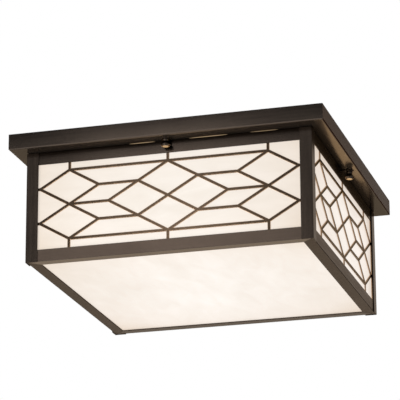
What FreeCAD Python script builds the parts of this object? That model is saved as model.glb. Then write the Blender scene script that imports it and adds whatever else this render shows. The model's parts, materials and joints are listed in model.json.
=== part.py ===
"""Square flush mount ceiling light in millimetres.

A folded sheet pan closes against the ceiling. A lantern of steel angle, with a lattice and a glass
sheet in each side and a glass sheet below, hangs from the pan on four studs and knobs. Four lamps
stand inside it on brackets under the pan.

The origin is the centre of the pan in the plane of the ceiling, and everything hangs below it.
Front is -Y, right is +X.
"""

import FreeCAD
import Part

import math
import os

OUT = "parts"

# Shared values
OVERRUN = 4.0  # how far a cutting tool runs past the face that it cuts
FIT = 0.1  # radial play of a screw, rivet or shell in its hole
DRIVER_SLOT = 1.0  # width and depth of the slot in a screw's head
QUARTER_TURN = 90.0
FULL_TURN = 360.0
HALF_QUARTER_TURN = 45.0
SIDES = ("front", "right", "back", "left")  # each one a quarter turn on from the one before
CORNERS = ("front_right", "back_right", "back_left", "front_left")

# Ceiling pan
PAN_OVERHANG = 23.0  # beyond the lantern on each side
PAN_DEPTH = 26.0
PAN_SHEET = 1.2
PAN_BEND = 2.4  # outer radius of the folds round its flat face
PAN_CORNER = 0.6  # rounding of its welded corners

# Lantern frame
BOX_WIDTH = 460.0  # across the corner posts
BOX_HEIGHT = 179.8  # from the pan down to the feet of the posts
ANGLE_LEG = 19.4
ANGLE_SHEET = 1.6
ANGLE_EDGE = 0.6  # rounding of the outer edges
RAIL_FLANGE = 18.4  # inward leg of the rails
POST_FOOT = 0.8  # how far the posts reach below the bottom rails
LANTERN_GAP = 1.2  # open gap under the pan, the thickness of the hanging ears

# Lattice
LATTICE_SHEET = 1.6
BAR_WIDTH = 4.6
DIAMOND_HALF_WIDTH = 48.0
DIAMOND_HALF_HEIGHT = 28.1
COLUMN_MARGIN = 2.5  # between each post and the tips of the diamonds beside it
LATTICE_RISE = 1.2  # how far the pattern lies above the middle of the window

# Glass
GLASS = 3.2
PANEL_PLAY = 3.0  # between a panel (lattice and side glass) and the panel round the corner
PANEL_HEADROOM = 6.4  # above a panel, under the top rail
BOTTOM_GLASS_PLAY = 1.5  # between the bottom glass and the side glass

# Clips behind the side glass
CLIP_WIDTH = 12.0
CLIP_SHEET = 1.0
CLIP_DROP = 15.0
CLIP_REACH = 11.0
CLIP_OFFSET = 140.0
RIVET_DIAMETER = 3.0
RIVET_HEAD_DIAMETER = 5.6
RIVET_HEAD_HEIGHT = 1.2
RIVET_DOME = 1.0  # rounding of the head

# Hanging studs, ears, washers and knobs
STUD_DIAMETER = 4.8
STUD_HEAD_DIAMETER = 10.0
STUD_HEAD_HEIGHT = 1.6
STUD_LENGTH = 10.8  # below the pan
KNOB_REACH = 8.25  # from the lantern's side to the knob's axis
EAR_WIDTH = 14.0
EAR_ROOT = 15.0  # how far the ear lies on the top rail
WASHER_DIAMETER = 11.0
WASHER_SHEET = 0.8
KNOB_PLAY = 0.05  # radial play of the knob's thread on the stud
KNOB_HEIGHT = 12.2
KNOB_BORE_DEPTH = 9.4
KNOB_COLLAR_RADIUS = 5.0
KNOB_COLLAR_HEIGHT = 2.2
KNOB_NECK_RADIUS = 4.1
KNOB_NECK_HEIGHT = 1.6
KNOB_RADIUS = 7.0
KNOB_RIM_HEIGHT = 2.0
KNOB_EDGE = 0.9

# Crossbar and its studs
CROSSBAR_LENGTH = 124.0
CROSSBAR_WIDTH = 22.0
CROSSBAR_SHEET = 2.5
CROSSBAR_SLOT_SPACING = 88.9
CROSSBAR_SLOT_LENGTH = 14.0
CROSSBAR_SLOT_WIDTH = 4.8
CROSSBAR_HOLE_DIAMETER = 10.4
CANOPY_STUD_DIAMETER = 4.0
CANOPY_STUD_OFFSET = 28.0
CANOPY_STUD_END = 33.0  # depth of the stud's end below the ceiling
CANOPY_COLLAR_DIAMETER = 8.0
CANOPY_COLLAR_HEIGHT = 2.0
CAP_NUT_ACROSS = 8.0
CAP_NUT_HEIGHT = 4.0
CAP_NUT_BORE_SPARE = 0.4

# Wire bushing and leads
BUSHING_BORE = 16.0
BUSHING_WALL = 1.6
BUSHING_LIP = 2.2
BUSHING_LIP_HEIGHT = 1.6
LEAD_DIAMETER = 2.2
LEAD_PITCH = 3.0  # between leads that lie side by side
LEAD_ROW = 2.6  # from the middle of the bushing to each row of leads
LEAD_LEVELS = (44.0, 51.0)  # depth at which the back and the front pairs cross to the bushing
LEAD_TOP = 13.0  # depth of the leads in the pan
LEAD_SPREAD = 12.0  # from the socket's axis to each lead
LEAD_START = 9.0  # straight run out of the socket
BEND_SHARE = 0.45  # part of the shorter run that an arc takes up
CONNECTOR_START = 27.0
CONNECTOR_LENGTH = 26.0
CONNECTOR_RADIUS = 8.6
CONNECTOR_TIP_RADIUS = 4.4
CONNECTOR_BORE_RADIUS = 6.2
CONNECTOR_BORE_DEPTH = 12.0
CONNECTOR_SKIRT = 6.0

# Ground lead and its two screws
GROUND_SCREW_DIAMETER = 4.0
GROUND_HEAD_DIAMETER = 8.0
GROUND_HEAD_HEIGHT = 2.2
GROUND_BAR_OFFSET = 54.0  # screw in the crossbar
GROUND_BAR_SIDE = 5.0  # its distance from the crossbar's middle line
GROUND_PAN_X = 66.0  # screw in the pan
GROUND_PAN_Y = 34.0

# Lampholders
SOCKET_AXIS_DEPTH = 46.0  # below the pan
SOCKET_BACK = 36.0  # from the middle to the back of each socket
SOCKET_BACK_RADIUS = 17.0
SOCKET_BACK_LENGTH = 9.0
SOCKET_RADIUS = 20.0
SOCKET_LENGTH = 46.0
SOCKET_ROUND = 1.6
SOCKET_CAVITY_RADIUS = 14.2
SOCKET_CAVITY_DEPTH = 30.0
SHELL_RADIUS = 14.1
SHELL_SHEET = 0.5
SHELL_LENGTH = 25.0
SHELL_FLOOR_LIP = 3.0
CONTACT_RADIUS = 3.2
CONTACT_HEIGHT = 3.4
BRACKET_WIDTH = 16.0
BRACKET_SHEET = 1.6
BRACKET_FOOT = 21.0
BRACKET_TAIL = 8.0  # below the socket's axis
SOCKET_RIVET_DIAMETER = 4.0
SOCKET_RIVET_HEAD_DIAMETER = 7.0
SOCKET_RIVET_DEPTH = 6.0
BRACKET_SCREW_DIAMETER = 4.0
BRACKET_SCREW_HEAD_DIAMETER = 7.6
BRACKET_SCREW_HEAD_HEIGHT = 2.4
BRACKET_NUT_ACROSS = 7.0
BRACKET_NUT_HEIGHT = 3.0

# Lamps
LAMP_TIP_GAP = 0.3  # between the lamp's tip and the socket's contact
LAMP_TIP_RADIUS = 4.6
LAMP_TIP_HEIGHT = 1.6
LAMP_INSULATOR_RADIUS = 9.6
LAMP_INSULATOR_HEIGHT = 3.4
LAMP_THREAD_RADIUS = 13.1
LAMP_THREAD_DEPTH = 0.9
LAMP_THREAD_PITCH = 3.6
LAMP_THREAD_TURNS = 5
LAMP_COLLAR_LENGTH = 4.0
LAMP_NECK_RADIUS = 13.6
LAMP_GLOBE_RADIUS = 30.0
LAMP_LENGTH = 108.0
LAMP_WALL = 1.0

# Worked out from the sizes above
UNDERSIDE = -PAN_DEPTH
PLATE_TOP = UNDERSIDE + PAN_SHEET
BOX_HALF = BOX_WIDTH / 2
PAN_HALF = BOX_HALF + PAN_OVERHANG
PAN_WIDTH = PAN_HALF + PAN_HALF
BOX_BOTTOM = UNDERSIDE - BOX_HEIGHT
FRAME_TOP = UNDERSIDE - LANTERN_GAP
RAIL_HALF = BOX_HALF - ANGLE_SHEET  # outer face of the rails
LATTICE_HALF = RAIL_HALF - ANGLE_SHEET  # outer face of the lattice
GLASS_HALF = LATTICE_HALF - LATTICE_SHEET  # outer face of the side glass
CAVITY_HALF = GLASS_HALF - GLASS
RAIL_BOTTOM = BOX_BOTTOM + POST_FOOT
SILL = RAIL_BOTTOM + ANGLE_SHEET  # upper face of the bottom flange
WINDOW_BOTTOM = RAIL_BOTTOM + ANGLE_LEG
WINDOW_TOP = FRAME_TOP - ANGLE_LEG
WINDOW_HALF = BOX_HALF - ANGLE_LEG
PANEL_HALF = CAVITY_HALF - PANEL_PLAY
PANEL_TOP = FRAME_TOP - ANGLE_SHEET - PANEL_HEADROOM
KNOB_AXIS = BOX_HALF + KNOB_REACH
EAR_BOTTOM = UNDERSIDE - LANTERN_GAP
WASHER_BOTTOM = EAR_BOTTOM - WASHER_SHEET
KNOB_BOTTOM = WASHER_BOTTOM - KNOB_HEIGHT
SOCKET_AXIS_Z = UNDERSIDE - SOCKET_AXIS_DEPTH
CAVITY_FLOOR = SOCKET_LENGTH - SOCKET_CAVITY_DEPTH
LAMP_START = CAVITY_FLOOR + CONTACT_HEIGHT + LAMP_TIP_GAP
BUSHING_RADIUS = BUSHING_BORE / 2 + BUSHING_WALL


def vec(x, y, z):
    return FreeCAD.Vector(x, y, z)


UP = vec(0, 0, 1)
OUTWARD = vec(1, 0, 0)
ORIGIN = vec(0, 0, 0)


def block(x0, x1, y0, y1, z0, z1):
    """Box between two corners."""
    return Part.makeBox(x1 - x0, y1 - y0, z1 - z0, vec(x0, y0, z0))


def rod(radius, x, y, z0, z1):
    """Upright cylinder."""
    return Part.makeCylinder(radius, z1 - z0, vec(x, y, z0), UP)


def hexagon(across, x, y, z0, z1):
    """Upright hexagonal prism, given across its flats."""
    reach = across / math.sqrt(3)
    corners = [
        vec(x + reach * math.cos(math.pi * k / 3), y + reach * math.sin(math.pi * k / 3), z0)
        for k in range(6)
    ]
    return Part.Face(Part.makePolygon(corners + corners[:1])).extrude(vec(0, 0, z1 - z0))


def turned(shape, degrees):
    """Copy turned about the vertical axis."""
    copy = shape.copy()
    copy.rotate(ORIGIN, UP, degrees)
    return copy


def around(shape, start=0):
    """Four copies, a quarter turn apart."""
    return [turned(shape, start + QUARTER_TURN * k) for k in range(len(SIDES))]


def lathe(edges, base, axis):
    """Solid of revolution from the edges of a closed outline."""
    face = Part.Face(Part.Wire(edges))
    return face.revolve(base, axis, FULL_TURN)


def outline(points):
    """Straight edges through the points and back to the first."""
    return [
        Part.LineSegment(a, b).toShape() for a, b in zip(points, points[1:] + points[:1])
    ]


def lathe_outward(profile):
    """Revolves (x, radius) points about X."""
    return lathe(outline([vec(x, 0, r) for x, r in profile]), ORIGIN, OUTWARD)


def tube(points, diameter):
    """Wire along straight runs joined by tangent arcs."""
    edges = []
    radii = []
    start = points[0]
    for before, here, after in zip(points, points[1:], points[2:]):
        back = before - here
        on = after - here
        reach = BEND_SHARE * min(back.Length, on.Length)
        turn = math.pi - back.getAngle(on)
        back.normalize()
        on.normalize()
        radius = reach / math.tan(turn / 2)
        radii.append(radius)
        inward = back + on
        inward.normalize()
        middle = here + inward * (math.hypot(radius, reach) - radius)
        entry = here + back * reach
        leaving = here + on * reach
        edges.append(Part.LineSegment(start, entry).toShape())
        edges.append(Part.Arc(entry, middle, leaving).toShape())
        start = leaving
    edges.append(Part.LineSegment(start, points[-1]).toShape())
    length = sum(edge.Length for edge in edges)
    ring = Part.Wire([Part.makeCircle(diameter / 2, points[0], points[1] - points[0])])
    solid = Part.Wire(edges).makePipeShell([ring], True, False)
    share = solid.Volume / (math.pi * diameter**2 / 4 * length)
    shown = " ".join(f"{radius:.1f}" for radius in radii)
    print(f"lead {length:.0f} mm, radii {shown}, volume {share:.4f} of section times length")
    return solid


def folded_box(half, bend, floor):
    """Box rounded along the four edges of its floor, with the folds mitred at its corners."""
    channel = block(-half, half, -half, half, floor, OVERRUN)
    folds = [e for e in channel.Edges if e.BoundBox.ZMax < floor + FIT and e.BoundBox.XLength > half]
    channel = channel.makeFillet(bend, folds)
    return channel.common(turned(channel, QUARTER_TURN))


def ceiling_pan():
    """Tray with its flat face down and its rim up against the ceiling."""
    outer = folded_box(PAN_HALF, PAN_BEND, UNDERSIDE)
    hollow = folded_box(PAN_HALF - PAN_SHEET, PAN_BEND - PAN_SHEET, PLATE_TOP)
    prism = block(-PAN_HALF, PAN_HALF, -PAN_HALF, PAN_HALF, UNDERSIDE - OVERRUN, OVERRUN + OVERRUN)
    corners = [e for e in prism.Edges if e.BoundBox.ZLength > PAN_DEPTH]
    outer = outer.common(prism.makeFillet(PAN_CORNER, corners))
    above = block(-PAN_WIDTH, PAN_WIDTH, -PAN_WIDTH, PAN_WIDTH, 0, OVERRUN + OVERRUN)
    pan = outer.cut([hollow, above])
    low = UNDERSIDE - OVERRUN
    high = PLATE_TOP + OVERRUN
    holes = around(rod(STUD_DIAMETER / 2 + FIT, 0, -KNOB_AXIS, low, high))
    holes += around(
        rod(BRACKET_SCREW_DIAMETER / 2 + FIT, bracket_screw_x(), 0, low, high), HALF_QUARTER_TURN
    )
    holes.append(rod(BUSHING_RADIUS, 0, 0, low, high))
    for x in (-CANOPY_STUD_OFFSET, CANOPY_STUD_OFFSET):
        holes.append(rod(CANOPY_STUD_DIAMETER / 2 + FIT, x, 0, low, high))
    holes.append(rod(GROUND_SCREW_DIAMETER / 2 + FIT, GROUND_PAN_X, GROUND_PAN_Y, low, high))
    return pan.cut(holes)


def corner_post():
    """Steel angle outside the rails at the front right corner."""
    inner = BOX_HALF - ANGLE_SHEET
    edge = BOX_HALF - ANGLE_LEG
    post = block(edge, BOX_HALF, -BOX_HALF, -edge, BOX_BOTTOM, FRAME_TOP)
    hollow = block(
        edge - OVERRUN, inner, -inner, OVERRUN - edge, BOX_BOTTOM - OVERRUN, FRAME_TOP + OVERRUN
    )
    post = post.cut(hollow)
    arris = [
        e for e in post.Edges if e.BoundBox.XMin > BOX_HALF - FIT and e.BoundBox.YMax < FIT - BOX_HALF
    ]
    return post.makeFillet(ANGLE_EDGE, [e for e in arris if e.BoundBox.ZLength > ANGLE_LEG])


def mitred(ring):
    """Front quarter of a square ring, cut to 45 degrees at both ends."""
    reach = PAN_WIDTH
    corners = [vec(0, 0, 0), vec(-reach, -reach, 0), vec(reach, -reach, 0)]
    wedge = Part.Face(Part.makePolygon(corners + corners[:1])).extrude(vec(0, 0, -PAN_WIDTH))
    return ring.common(wedge)


def square_ring(outer, inner, z0, z1):
    ring = block(-outer, outer, -outer, outer, z0, z1)
    return ring.cut(block(-inner, inner, -inner, inner, z0 - OVERRUN, z1 + OVERRUN))


def bottom_rail():
    """Angle with its flange inward at the foot, where the glass stands."""
    wall = square_ring(RAIL_HALF, RAIL_HALF - ANGLE_SHEET, RAIL_BOTTOM, WINDOW_BOTTOM)
    flange = square_ring(RAIL_HALF, RAIL_HALF - RAIL_FLANGE, RAIL_BOTTOM, SILL)
    rail = mitred(wall.fuse(flange).removeSplitter())
    arris = [
        e
        for e in rail.Edges
        if e.BoundBox.YMax < FIT - RAIL_HALF and e.BoundBox.ZMax < RAIL_BOTTOM + FIT
    ]
    return rail.makeFillet(ANGLE_EDGE, arris)


def top_rail():
    """Angle with its flange inward at the top, drilled for the clips' rivets."""
    wall = square_ring(RAIL_HALF, RAIL_HALF - ANGLE_SHEET, WINDOW_TOP, FRAME_TOP)
    flange = square_ring(RAIL_HALF, RAIL_HALF - RAIL_FLANGE, FRAME_TOP - ANGLE_SHEET, FRAME_TOP)
    rail = mitred(wall.fuse(flange).removeSplitter())
    return rail.cut(
        [
            rod(RIVET_DIAMETER / 2 + FIT, x, clip_rivet_y(), WINDOW_TOP, FRAME_TOP + OVERRUN)
            for x in (-CLIP_OFFSET, CLIP_OFFSET)
        ]
    )


def bar(x0, z0, x1, z1):
    """Flat bar of the lattice between two points of its pattern, with round ends."""
    length = math.hypot(x1 - x0, z1 - z0)
    half = BAR_WIDTH / 2
    y0 = -LATTICE_HALF
    strip = Part.makeBox(length, LATTICE_SHEET, BAR_WIDTH, vec(0, y0, -half))
    ends = [
        Part.makeCylinder(half, LATTICE_SHEET, vec(x, y0, 0), vec(0, 1, 0)) for x in (0, length)
    ]
    piece = strip.fuse(ends)
    piece.rotate(ORIGIN, vec(0, -1, 0), math.degrees(math.atan2(z1 - z0, x1 - x0)))
    piece.translate(vec(x0, 0, z0))
    return piece


def lattice():
    """Cut sheet of diamonds and straight bars inside a border that the frame hides."""
    middle = (WINDOW_BOTTOM + WINDOW_TOP) / 2 + LATTICE_RISE
    w, h = DIAMOND_HALF_WIDTH, DIAMOND_HALF_HEIGHT
    outer_column = WINDOW_HALF - COLUMN_MARGIN - w
    centres = [(0, h), (0, -h), (w, 0), (-w, 0)]
    centres += [(x, z) for x in (-outer_column, outer_column) for z in (h, -h)]
    lines = set()
    for cx, cz in centres:
        tips = [(cx - w, cz), (cx, cz + h), (cx + w, cz), (cx, cz - h)]
        for a, b in zip(tips, tips[1:] + tips[:1]):
            lines.add(tuple(sorted([a, b])))
    reach = (WINDOW_HALF + PANEL_HALF) / 2
    for side in (-1, 1):
        column = side * outer_column
        lines.add(((column, 0), (side * (w + w), 0)))
        for level in (-h, h):
            lines.add(((column - side * w, level), (side * w, level)))
            lines.add(((column + side * w, level), (side * reach, level)))
    ends = {-1: WINDOW_BOTTOM - BAR_WIDTH - middle, 1: WINDOW_TOP + BAR_WIDTH - middle}
    for level, end in ends.items():
        lines.add(((-outer_column, level * (h + h)), (outer_column, level * (h + h))))
        for column in (-outer_column, 0, outer_column):
            lines.add(((column, level * (h + h)), (column, end)))
    bars = [bar(a[0], a[1] + middle, b[0], b[1] + middle) for a, b in sorted(lines)]
    y0, y1 = -LATTICE_HALF, -GLASS_HALF
    sheet = block(-PANEL_HALF, PANEL_HALF, y0, y1, SILL, PANEL_TOP)
    hidden = BAR_WIDTH / 2
    window = block(
        -WINDOW_HALF - hidden,
        WINDOW_HALF + hidden,
        y0 - OVERRUN,
        y1 + OVERRUN,
        WINDOW_BOTTOM - hidden,
        WINDOW_TOP + hidden,
    )
    return sheet.cut(window).fuse(bars).removeSplitter()


def side_glass():
    return block(-PANEL_HALF, PANEL_HALF, -GLASS_HALF, -CAVITY_HALF, SILL, PANEL_TOP)


def bottom_glass():
    half = CAVITY_HALF - BOTTOM_GLASS_PLAY
    return block(-half, half, -half, half, SILL, SILL + GLASS)


def clip_rivet_y():
    return -(CAVITY_HALF - CLIP_REACH / 2)


def clips():
    """Bent tabs riveted under the top rails, each holding the glass forward."""
    top = FRAME_TOP - ANGLE_SHEET
    found = []
    for x in (-CLIP_OFFSET, CLIP_OFFSET):
        x0, x1 = x - CLIP_WIDTH / 2, x + CLIP_WIDTH / 2
        y0 = -CAVITY_HALF
        leg = block(x0, x1, y0, y0 + CLIP_SHEET, top - CLIP_DROP, top)
        foot = block(x0, x1, y0, y0 + CLIP_REACH, top - CLIP_SHEET, top)
        hole = rod(RIVET_DIAMETER / 2 + FIT, x, clip_rivet_y(), top - OVERRUN, top + OVERRUN)
        found.append(leg.fuse(foot).removeSplitter().cut(hole))
    return [copy for clip in found for copy in around(clip)]


def rivets():
    """Dome rivets through the clips and the top flange."""
    seat = FRAME_TOP - ANGLE_SHEET - CLIP_SHEET
    found = []
    for x in (-CLIP_OFFSET, CLIP_OFFSET):
        y = clip_rivet_y()
        head = rod(RIVET_HEAD_DIAMETER / 2, x, y, seat - RIVET_HEAD_HEIGHT, seat)
        lower = [e for e in head.Edges if e.BoundBox.ZMax < seat - RIVET_HEAD_HEIGHT + FIT]
        head = head.makeFillet(RIVET_DOME, lower)
        found.append(head.fuse(rod(RIVET_DIAMETER / 2, x, y, seat, FRAME_TOP)).removeSplitter())
    return [copy for rivet in found for copy in around(rivet)]


def ears():
    """Tabs welded on the top rails, reaching out under the pan to the studs."""
    half = EAR_WIDTH / 2
    root = block(-half, half, -KNOB_AXIS, EAR_ROOT - RAIL_HALF, EAR_BOTTOM, UNDERSIDE)
    tip = rod(half, 0, -KNOB_AXIS, EAR_BOTTOM, UNDERSIDE)
    hole = rod(
        STUD_DIAMETER / 2 + FIT + FIT, 0, -KNOB_AXIS, EAR_BOTTOM - OVERRUN, UNDERSIDE + OVERRUN
    )
    return around(root.fuse(tip).removeSplitter().cut(hole))


def hanging_studs():
    """Flat-headed studs through the pan."""
    head = rod(STUD_HEAD_DIAMETER / 2, 0, -KNOB_AXIS, PLATE_TOP, PLATE_TOP + STUD_HEAD_HEIGHT)
    shank = rod(STUD_DIAMETER / 2, 0, -KNOB_AXIS, UNDERSIDE - STUD_LENGTH, PLATE_TOP)
    return around(head.fuse(shank).removeSplitter())


def knob_washer():
    ring = rod(WASHER_DIAMETER / 2, 0, -KNOB_AXIS, WASHER_BOTTOM, EAR_BOTTOM)
    hole = rod(
        STUD_DIAMETER / 2 + FIT + FIT, 0, -KNOB_AXIS, WASHER_BOTTOM - OVERRUN, EAR_BOTTOM + OVERRUN
    )
    return ring.cut(hole)


def knob():
    """Turned knob: a collar, a waist, and a wide flat-bottomed cup."""
    top = WASHER_BOTTOM
    waist_top = top - KNOB_COLLAR_HEIGHT
    waist_bottom = waist_top - KNOB_NECK_HEIGHT
    rim_top = KNOB_BOTTOM + KNOB_EDGE + KNOB_RIM_HEIGHT
    rim_bottom = KNOB_BOTTOM + KNOB_EDGE
    bore = STUD_DIAMETER / 2 + KNOB_PLAY
    flare = vec((KNOB_NECK_RADIUS + KNOB_RADIUS) / 2, 0, (waist_bottom + rim_top) / 2)
    bulge = (KNOB_RADIUS - KNOB_NECK_RADIUS) / 4
    points = [
        vec(bore, 0, top),
        vec(KNOB_COLLAR_RADIUS, 0, top),
        vec(KNOB_COLLAR_RADIUS, 0, waist_top),
        vec(KNOB_NECK_RADIUS, 0, waist_top),
        vec(KNOB_NECK_RADIUS, 0, waist_bottom),
    ]
    edges = [Part.LineSegment(a, b).toShape() for a, b in zip(points, points[1:])]
    shoulder = vec(KNOB_RADIUS, 0, rim_top)
    edges.append(Part.Arc(points[-1], flare + vec(bulge, 0, bulge), shoulder).toShape())
    lower = vec(KNOB_RADIUS, 0, rim_bottom)
    edges.append(Part.LineSegment(shoulder, lower).toShape())
    slant = KNOB_EDGE * math.sqrt(0.5)
    centre = vec(KNOB_RADIUS - KNOB_EDGE, 0, rim_bottom)
    foot = vec(KNOB_RADIUS - KNOB_EDGE, 0, KNOB_BOTTOM)
    edges.append(Part.Arc(lower, centre + vec(slant, 0, -slant), foot).toShape())
    rest = [
        foot,
        vec(0, 0, KNOB_BOTTOM),
        vec(0, 0, top - KNOB_BORE_DEPTH),
        vec(bore, 0, top - KNOB_BORE_DEPTH),
        points[0],
    ]
    edges += [Part.LineSegment(a, b).toShape() for a, b in zip(rest, rest[1:])]
    solid = lathe(edges, ORIGIN, UP)
    solid.translate(vec(0, -KNOB_AXIS, 0))
    return solid


def crossbar():
    """Strap that bolts to the outlet box, with its upper face in the plane of the ceiling."""
    half_length, half_width = CROSSBAR_LENGTH / 2, CROSSBAR_WIDTH / 2
    strap = block(-half_length, half_length, -half_width, half_width, -CROSSBAR_SHEET, 0)
    strap = strap.makeFillet(
        half_width / 2, [e for e in strap.Edges if e.BoundBox.ZLength > CROSSBAR_SHEET / 2]
    )
    low, high = -CROSSBAR_SHEET - OVERRUN, OVERRUN
    cuts = [rod(CROSSBAR_HOLE_DIAMETER / 2, 0, 0, low, high)]
    slot_radius = CROSSBAR_SLOT_WIDTH / 2
    run = CROSSBAR_SLOT_LENGTH / 2 - slot_radius
    for side in (-1, 1):
        x = side * CROSSBAR_SLOT_SPACING / 2
        cuts.append(block(x - run, x + run, -slot_radius, slot_radius, low, high))
        cuts += [rod(slot_radius, x + end, 0, low, high) for end in (-run, run)]
        cuts.append(rod(CANOPY_STUD_DIAMETER / 2 + FIT, side * CANOPY_STUD_OFFSET, 0, low, high))
    cuts.append(
        rod(GROUND_SCREW_DIAMETER / 2 + FIT, GROUND_BAR_OFFSET, GROUND_BAR_SIDE, low, high)
    )
    return strap.cut(cuts)


def canopy_studs():
    """Studs from the crossbar down through the pan, each with a collar under the crossbar."""
    return [
        rod(CANOPY_STUD_DIAMETER / 2, side * CANOPY_STUD_OFFSET, 0, -CANOPY_STUD_END, 0).fuse(
            rod(
                CANOPY_COLLAR_DIAMETER / 2,
                side * CANOPY_STUD_OFFSET,
                0,
                -CROSSBAR_SHEET - CANOPY_COLLAR_HEIGHT,
                -CROSSBAR_SHEET,
            )
        )
        for side in (-1, 1)
    ]


def cap_nuts():
    """Domed nuts on the canopy studs, under the pan."""
    found = []
    for side in (-1, 1):
        x = side * CANOPY_STUD_OFFSET
        low = UNDERSIDE - CAP_NUT_HEIGHT
        nut = hexagon(CAP_NUT_ACROSS, x, 0, low, UNDERSIDE)
        dome = Part.makeSphere(CAP_NUT_ACROSS / 2, vec(x, 0, low))
        dome = dome.common(
            block(x - CAP_NUT_ACROSS, x + CAP_NUT_ACROSS, -CAP_NUT_ACROSS, CAP_NUT_ACROSS,
                  low - CAP_NUT_ACROSS, low)
        )
        bore = rod(
            CANOPY_STUD_DIAMETER / 2 + KNOB_PLAY,
            x,
            0,
            -CANOPY_STUD_END - CAP_NUT_BORE_SPARE,
            UNDERSIDE + OVERRUN,
        )
        found.append(nut.fuse(dome).removeSplitter().cut(bore))
    return found


def wire_bushing():
    """Flanged nylon bush in the middle hole of the pan."""
    bore, wall = BUSHING_BORE / 2, BUSHING_RADIUS
    lip = wall + BUSHING_LIP
    ring = rod(wall, 0, 0, UNDERSIDE, PLATE_TOP)
    ring = ring.fuse(
        [
            rod(lip, 0, 0, UNDERSIDE - BUSHING_LIP_HEIGHT, UNDERSIDE),
            rod(lip, 0, 0, PLATE_TOP, PLATE_TOP + BUSHING_LIP_HEIGHT),
        ]
    ).removeSplitter()
    return ring.cut(
        rod(bore, 0, 0, UNDERSIDE - BUSHING_LIP_HEIGHT - OVERRUN, PLATE_TOP + OVERRUN + OVERRUN)
    )


def lead(index, hot):
    """One lead from a socket, through the bushing, to its connector."""
    angle = math.radians(HALF_QUARTER_TURN + QUARTER_TURN * index)
    along = vec(math.cos(angle), math.sin(angle), 0)
    across = vec(-math.sin(angle), math.cos(angle), 0)
    right_side = along.x > 0
    back_side = along.y > 0
    side = 1 if hot == right_side else -1
    column = LEAD_PITCH / 2 if not back_side else LEAD_PITCH * 3 / 2
    x = column if right_side else -column
    row = LEAD_ROW if hot else -LEAD_ROW
    level = -LEAD_LEVELS[0] if back_side else -LEAD_LEVELS[1]
    end = CONNECTOR_START + CONNECTOR_BORE_DEPTH
    start = along * SOCKET_BACK + across * (side * LEAD_SPREAD) + vec(0, 0, SOCKET_AXIS_Z)
    return tube(
        [
            start,
            start - along * LEAD_START,
            vec(x, row, level),
            vec(x, row, -LEAD_TOP),
            vec(x, end if hot else -end, -LEAD_TOP),
        ],
        LEAD_DIAMETER,
    )


def connector(direction):
    """Twist-on connector that a row of leads ends in."""
    skirt = CONNECTOR_START + CONNECTOR_SKIRT
    tip = CONNECTOR_START + CONNECTOR_LENGTH
    floor = CONNECTOR_START + CONNECTOR_BORE_DEPTH
    solid = lathe_outward(
        [
            (CONNECTOR_START, CONNECTOR_BORE_RADIUS),
            (CONNECTOR_START, CONNECTOR_RADIUS),
            (skirt, CONNECTOR_RADIUS),
            (tip, CONNECTOR_TIP_RADIUS),
            (tip, 0),
            (floor, 0),
            (floor, CONNECTOR_BORE_RADIUS),
        ]
    )
    solid.rotate(ORIGIN, UP, direction)
    solid.translate(vec(0, 0, -LEAD_TOP))
    return solid


def driver_slot(x, y, face, way):
    """Cutter for the slot in a screw's head. The face is the head's outer one, and way points out."""
    low, high = sorted([face - way * DRIVER_SLOT, face + way * OVERRUN])
    reach = GROUND_HEAD_DIAMETER
    half = DRIVER_SLOT / 2
    return block(x - reach, x + reach, y - half, y + half, low, high)


def ground_screw(x, y, seat, hangs):
    """Screw whose head lies on seat, above it or hanging below it."""
    way = -1 if hangs else 1
    radius = GROUND_SCREW_DIAMETER / 2
    through = CROSSBAR_SHEET if hangs else PAN_SHEET
    tail = sorted([seat, seat - way * through])
    face = seat + way * GROUND_HEAD_HEIGHT
    screw = rod(GROUND_HEAD_DIAMETER / 2, x, y, *sorted([seat, face])).fuse(rod(radius, x, y, *tail))
    return screw.cut(driver_slot(x, y, face, way))


def ground_screws():
    return [
        ground_screw(GROUND_BAR_OFFSET, GROUND_BAR_SIDE, -CROSSBAR_SHEET, True),
        ground_screw(GROUND_PAN_X, GROUND_PAN_Y, PLATE_TOP, False),
    ]


def ground_lead():
    """Bonding wire between the two ground screws, its ends against their heads."""
    bar_z = -CROSSBAR_SHEET - GROUND_HEAD_HEIGHT / 2
    pan_z = PLATE_TOP + GROUND_HEAD_HEIGHT / 2
    reach = GROUND_HEAD_DIAMETER / 2
    rise = (bar_z + pan_z) / 2
    middle_y = (GROUND_BAR_SIDE + GROUND_PAN_Y) / 2
    return tube(
        [
            vec(GROUND_BAR_OFFSET, GROUND_BAR_SIDE + reach, bar_z),
            vec(GROUND_BAR_OFFSET, GROUND_BAR_SIDE + reach + reach, bar_z),
            vec(GROUND_BAR_OFFSET, middle_y, rise),
            vec(GROUND_PAN_X, GROUND_PAN_Y - reach - reach, pan_z),
            vec(GROUND_PAN_X, GROUND_PAN_Y - reach, pan_z),
        ],
        LEAD_DIAMETER,
    )


def placed_at_sockets(shape):
    """Four copies of a piece drawn outward from a socket's back along X."""
    moved = shape.copy()
    moved.translate(vec(SOCKET_BACK, 0, SOCKET_AXIS_Z))
    return around(moved, HALF_QUARTER_TURN)


def socket_body():
    """Glazed lampholder, stepped at the back and hollow for the lamp."""
    back, front = SOCKET_BACK_RADIUS, SOCKET_RADIUS
    rivet = SOCKET_RIVET_DIAMETER / 2 + FIT
    return lathe_outward(
        [
            (0, rivet),
            (0, back),
            (SOCKET_BACK_LENGTH, back),
            (SOCKET_BACK_LENGTH + SOCKET_ROUND, front),
            (SOCKET_LENGTH - SOCKET_ROUND, front),
            (SOCKET_LENGTH, front - SOCKET_ROUND),
            (SOCKET_LENGTH, SOCKET_CAVITY_RADIUS),
            (CAVITY_FLOOR, SOCKET_CAVITY_RADIUS),
            (CAVITY_FLOOR, 0),
            (SOCKET_RIVET_DEPTH + FIT, 0),
            (SOCKET_RIVET_DEPTH + FIT, rivet),
        ]
    )


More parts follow.
